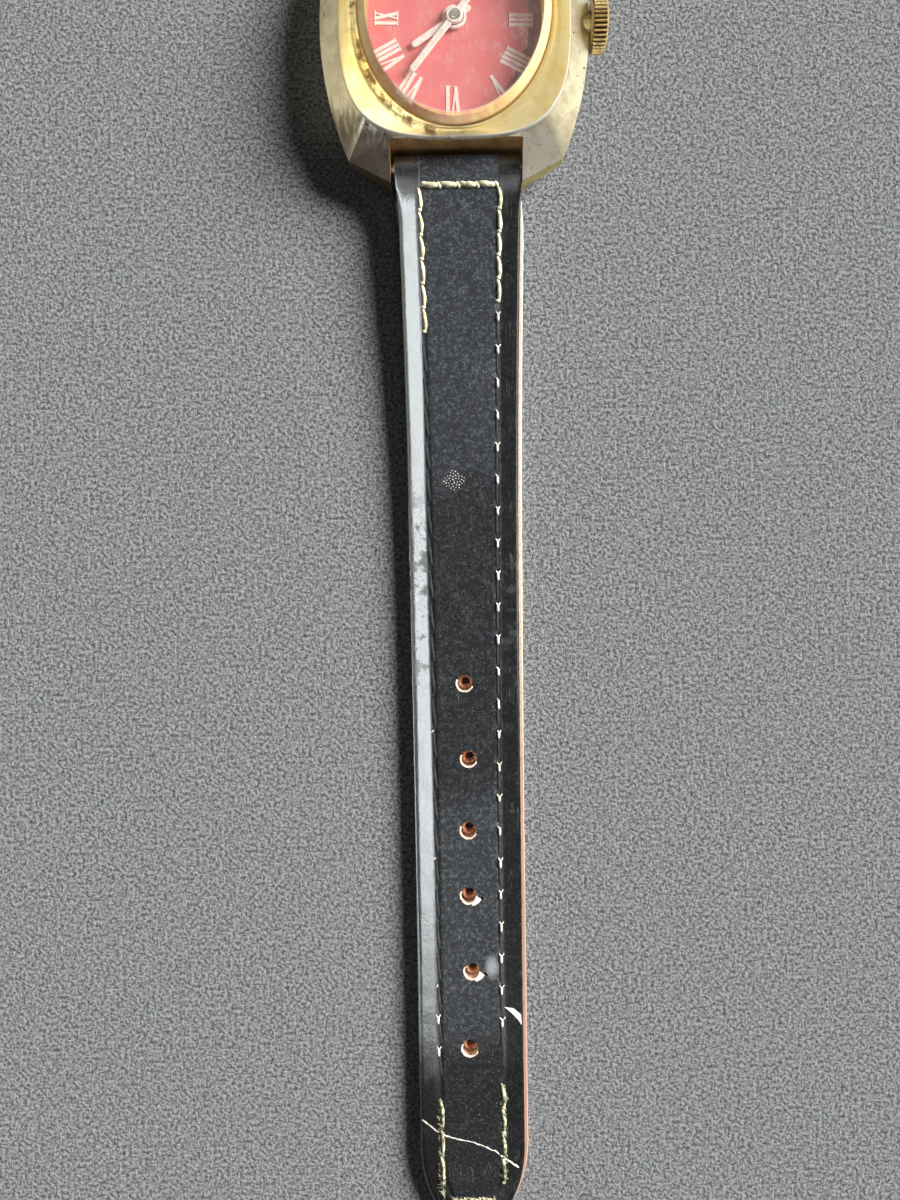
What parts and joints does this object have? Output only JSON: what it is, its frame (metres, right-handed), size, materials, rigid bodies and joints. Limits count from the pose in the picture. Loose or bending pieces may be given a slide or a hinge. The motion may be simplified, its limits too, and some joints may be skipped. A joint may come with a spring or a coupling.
{
  "type": "wristwatch",
  "caption": "Cushion-cased hand-wound wristwatch with roman numerals, two hands and a two-piece leather strap with a pin buckle, laid flat.",
  "frame": {"origin": "centre of the case back's outer flat face", "axes": "+Z out through the dial, +X towards the crown at 3 o'clock, +Y towards 12 o'clock along the strap"},
  "size_m": [0.0304, 0.2279, 0.0088],
  "materials": {
    "gold_plate": "worn polished gold plate",
    "case_metal": "worn plated base metal, brassy where it is thin",
    "glass": "clear acrylic, finely scratched",
    "steel": "satin",
    "brass": "satin",
    "rubber": "matt",
    "dial_red": "satin salmon red",
    "hand_metal": "polished, warm",
    "leather": "grained, shiny at the margins",
    "lining": "smooth, rubbed",
    "blued_steel": "blued"
  },
  "bodies": {
    "case": {"mid_case": "case_metal", "bezel": "gold_plate", "crystal": "glass", "case_back": "steel", "case_back_gasket": "rubber", "crown_tube": "steel", "movement_holder": "brass", "dial": "dial_red", "mainplate": "brass", "barrel_bridge": "brass", "train_bridge": "brass", "balance_cock": "brass", "pallet_bridge": "brass", "barrel_bridge_screw": "blued_steel", "train_bridge_screw": "blued_steel", "balance_cock_screw": "blued_steel", "spring_bar_6_tube": "steel", "spring_bar_12_tube": "steel", "spring_bar_6_spring": "steel", "spring_bar_12_spring": "steel"},
    "winding_pinion": {"winding_pinion": "steel"},
    "crown": {"crown": "gold_plate", "winding_stem": "steel", "crown_gasket": "rubber"},
    "sliding_pinion": {"sliding_pinion": "steel"},
    "setting_lever": {"setting_lever": "steel"},
    "yoke": {"yoke": "steel"},
    "crown_wheel": {"crown_wheel": "steel"},
    "ratchet": {"ratchet_wheel": "steel", "barrel_arbor": "steel"},
    "click": {"click": "steel"},
    "barrel": {"barrel_drum": "brass", "barrel_cover": "brass", "mainspring": "steel"},
    "center_wheel": {"center_wheel": "brass"},
    "third_wheel": {"third_wheel": "brass"},
    "fourth_wheel": {"fourth_wheel": "brass"},
    "escape_wheel": {"escape_wheel": "steel"},
    "pallet_fork": {"pallet_fork": "steel"},
    "balance": {"balance_wheel": "brass", "hairspring": "blued_steel"},
    "minute_hand": {"cannon_pinion": "steel", "minute_hand": "hand_metal"},
    "minute_wheel": {"minute_wheel": "brass"},
    "hour_hand": {"hour_wheel": "brass", "hour_hand": "hand_metal"},
    "setting_wheel": {"setting_wheel": "steel"},
    "strap_6": {"strap_6_leather": "leather", "strap_6_lining": "lining"},
    "strap_12": {"strap_12_leather": "leather", "strap_12_lining": "lining", "fixed_keeper": "leather", "buckle_bar": "steel"},
    "free_keeper": {"free_keeper": "leather"},
    "buckle_frame": {"buckle_frame": "gold_plate"},
    "buckle_tongue": {"buckle_tongue": "gold_plate"},
    "spring_bar_6_pin_left": {"spring_bar_6_pin_left": "steel"},
    "spring_bar_6_pin_right": {"spring_bar_6_pin_right": "steel"},
    "spring_bar_12_pin_left": {"spring_bar_12_pin_left": "steel"},
    "spring_bar_12_pin_right": {"spring_bar_12_pin_right": "steel"}
  },
  "joints": [
    {"name": "crown_turn", "type": "hinge", "parent": "case", "child": "winding_pinion", "pos_m": [0.0064, 0, 0.0039], "axis": [1, 0, 0], "continuous": true},
    {"name": "crown_pull", "type": "slide", "parent": "winding_pinion", "child": "crown", "axis": [1, 0, 0], "range_m": [0, 0.0008]},
    {"name": "sliding_pinion_slide", "type": "slide", "parent": "winding_pinion", "child": "sliding_pinion", "axis": [1, 0, 0], "range_m": [-0.0005, 0]},
    {"name": "setting_lever_rock", "type": "hinge", "parent": "case", "child": "setting_lever", "pos_m": [0.0064, 0.0024, 0.0046], "axis": [0, 0, 1], "range_deg": [0, 19.08]},
    {"name": "yoke_rock", "type": "hinge", "parent": "case", "child": "yoke", "pos_m": [0.00508, -0.0031, 0.0039], "axis": [0, 0, 1], "range_deg": [0, 12]},
    {"name": "crown_wheel_turn", "type": "hinge", "parent": "case", "child": "crown_wheel", "pos_m": [0.0048, 0, 0.002], "axis": [0, 0, 1], "continuous": true},
    {"name": "ratchet_turn", "type": "hinge", "parent": "case", "child": "ratchet", "pos_m": [0.00079, 0.00448, 0.0012], "axis": [0, 0, 1], "continuous": true},
    {"name": "click_rock", "type": "hinge", "parent": "case", "child": "click", "pos_m": [-0.00344, 0.00602, 0.0012], "axis": [0, 0, 1], "range_deg": [-10, 0]},
    {"name": "escape_wheel_turn", "type": "hinge", "parent": "case", "child": "escape_wheel", "pos_m": [0.00024, -0.0052, 0.0028], "axis": [0, 0, 1], "continuous": true},
    {"name": "fourth_wheel_turn", "type": "hinge", "parent": "case", "child": "fourth_wheel", "pos_m": [-0.00255, -0.00418, 0.0025], "axis": [0, 0, 1], "continuous": true},
    {"name": "third_wheel_turn", "type": "hinge", "parent": "case", "child": "third_wheel", "pos_m": [-0.00359, -0.00131, 0.0025], "axis": [0, 0, 1], "continuous": true},
    {"name": "center_wheel_turn", "type": "hinge", "parent": "case", "child": "center_wheel", "pos_m": [0, 0, 0.0031], "axis": [0, 0, 1], "continuous": true},
    {"name": "barrel_turn", "type": "hinge", "parent": "case", "child": "barrel", "pos_m": [0.00079, 0.00448, 0.0024], "axis": [0, 0, 1], "continuous": true},
    {"name": "pallet_rock", "type": "hinge", "parent": "case", "child": "pallet_fork", "pos_m": [0.00221, -0.00485, 0.0028], "axis": [0, 0, 1], "range_deg": [-5, 5]},
    {"name": "balance_swing", "type": "hinge", "parent": "case", "child": "balance", "pos_m": [0.00428, -0.00449, 0.0023], "axis": [0, 0, 1], "range_deg": [-270, 270]},
    {"name": "minute_hand_turn", "type": "hinge", "parent": "case", "child": "minute_hand", "pos_m": [0, 0, 0.0062], "axis": [0, 0, -1], "continuous": true},
    {"name": "minute_wheel_turn", "type": "hinge", "parent": "case", "child": "minute_wheel", "pos_m": [0.00128, 0.00203, 0.0045], "axis": [0, 0, -1], "continuous": true},
    {"name": "hour_hand_turn", "type": "hinge", "parent": "case", "child": "hour_hand", "pos_m": [0, 0, 0.0058], "axis": [0, 0, -1], "continuous": true},
    {"name": "setting_wheel_turn", "type": "hinge", "parent": "case", "child": "setting_wheel", "pos_m": [0.0029, 0, 0.0045], "axis": [0, 0, -1], "continuous": true},
    {"name": "strap_6_hinge", "type": "hinge", "parent": "case", "child": "strap_6", "pos_m": [0, -0.0145, 0.0028], "axis": [1, 0, 0], "range_deg": [-35, 80]},
    {"name": "strap_12_hinge", "type": "hinge", "parent": "case", "child": "strap_12", "pos_m": [0, 0.0145, 0.0028], "axis": [-1, 0, 0], "range_deg": [-35, 80]},
    {"name": "free_keeper_slide", "type": "slide", "parent": "strap_12", "child": "free_keeper", "axis": [0, 1, 0], "range_m": [-0.014, 0.009]},
    {"name": "buckle_hinge", "type": "hinge", "parent": "strap_12", "child": "buckle_frame", "pos_m": [0, 0.0895, 0.00135], "axis": [1, 0, 0], "range_deg": [-60, 45]},
    {"name": "tongue_hinge", "type": "hinge", "parent": "buckle_frame", "child": "buckle_tongue", "pos_m": [0, 0.0895, 0.00135], "axis": [1, 0, 0], "range_deg": [0, 65]},
    {"name": "spring_bar_6_left_push", "type": "slide", "parent": "case", "child": "spring_bar_6_pin_left", "axis": [1, 0, 0], "range_m": [0, 0.00105], "stiffness_N_per_m": 300},
    {"name": "spring_bar_6_right_push", "type": "slide", "parent": "case", "child": "spring_bar_6_pin_right", "axis": [-1, 0, 0], "range_m": [0, 0.00105], "stiffness_N_per_m": 300},
    {"name": "spring_bar_12_left_push", "type": "slide", "parent": "case", "child": "spring_bar_12_pin_left", "axis": [1, 0, 0], "range_m": [0, 0.00105], "stiffness_N_per_m": 300},
    {"name": "spring_bar_12_right_push", "type": "slide", "parent": "case", "child": "spring_bar_12_pin_right", "axis": [-1, 0, 0], "range_m": [0, 0.00105], "stiffness_N_per_m": 300}
  ],
  "couplings": [
    {"joint": "sliding_pinion_slide", "follows": "crown_pull", "ratio": -0.625},
    {"joint": "setting_lever_rock", "follows": "crown_pull", "rad_per_m": 416.25},
    {"joint": "yoke_rock", "follows": "crown_pull", "rad_per_m": 261.8},
    {"joint": "crown_wheel_turn", "follows": "crown_turn", "ratio": 0.625},
    {"joint": "ratchet_turn", "follows": "crown_turn", "ratio": -0.46875},
    {"joint": "fourth_wheel_turn", "follows": "escape_wheel_turn", "ratio": -0.1},
    {"joint": "third_wheel_turn", "follows": "escape_wheel_turn", "ratio": 0.013333},
    {"joint": "center_wheel_turn", "follows": "escape_wheel_turn", "ratio": -0.0016667},
    {"joint": "barrel_turn", "follows": "escape_wheel_turn", "ratio": 0.00027778},
    {"joint": "minute_wheel_turn", "follows": "minute_hand_turn", "ratio": -0.33333},
    {"joint": "hour_hand_turn", "follows": "minute_hand_turn", "ratio": 0.083333},
    {"joint": "setting_wheel_turn", "follows": "minute_hand_turn", "ratio": 0.75}
  ]
}
